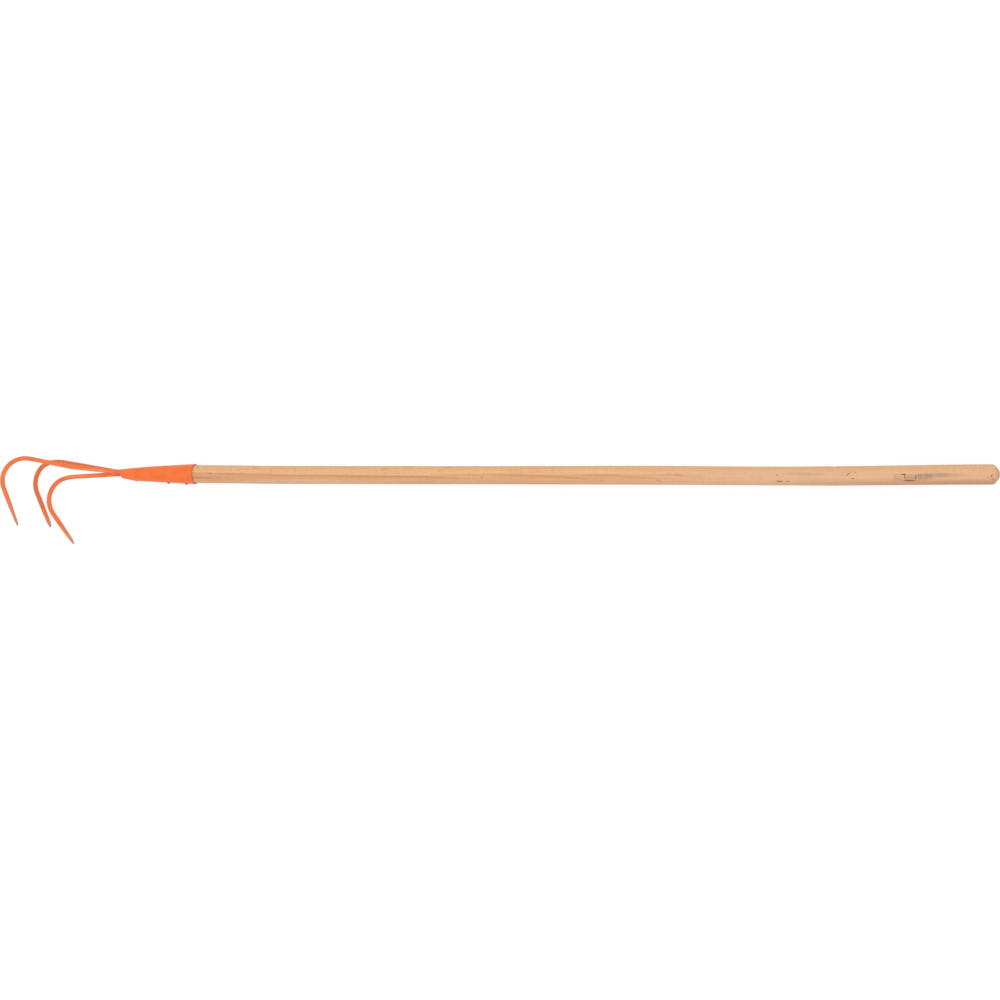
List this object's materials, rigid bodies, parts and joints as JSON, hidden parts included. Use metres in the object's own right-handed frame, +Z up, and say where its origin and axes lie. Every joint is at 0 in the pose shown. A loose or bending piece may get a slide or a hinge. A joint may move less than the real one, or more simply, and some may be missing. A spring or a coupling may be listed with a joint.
{
  "type": "three prong cultivator",
  "caption": "Long-handled garden cultivator: a turned wooden shaft in a rolled steel socket, with forged prongs bent into hooks.",
  "frame": {"origin": "on the surface that the tool lies on, below the middle of its bounding box", "axes": "+X from the prongs to the butt of the handle, +Y the back of the tool, away from which the hooks point, +Z up; the tool lies on its side"},
  "size_m": [1.4072, 0.1294, 0.0951],
  "materials": {
    "handle_wood": "sanded beech with a thin oil finish",
    "socket_enamel": "orange spray enamel, semi-gloss",
    "prong_enamel": "orange spray enamel over hammered steel",
    "weld_enamel": "orange spray enamel over weld",
    "nail_steel": "dull bare steel, part painted"
  },
  "bodies": {
    "root": {"handle": "handle_wood", "socket": "socket_enamel", "left_prong": "prong_enamel", "right_prong": "prong_enamel", "centre_prong": "prong_enamel", "neck_weld": "weld_enamel", "plug_weld": "weld_enamel", "mouth_nail": "nail_steel", "inner_nail": "nail_steel"}
  },
  "joints": []
}
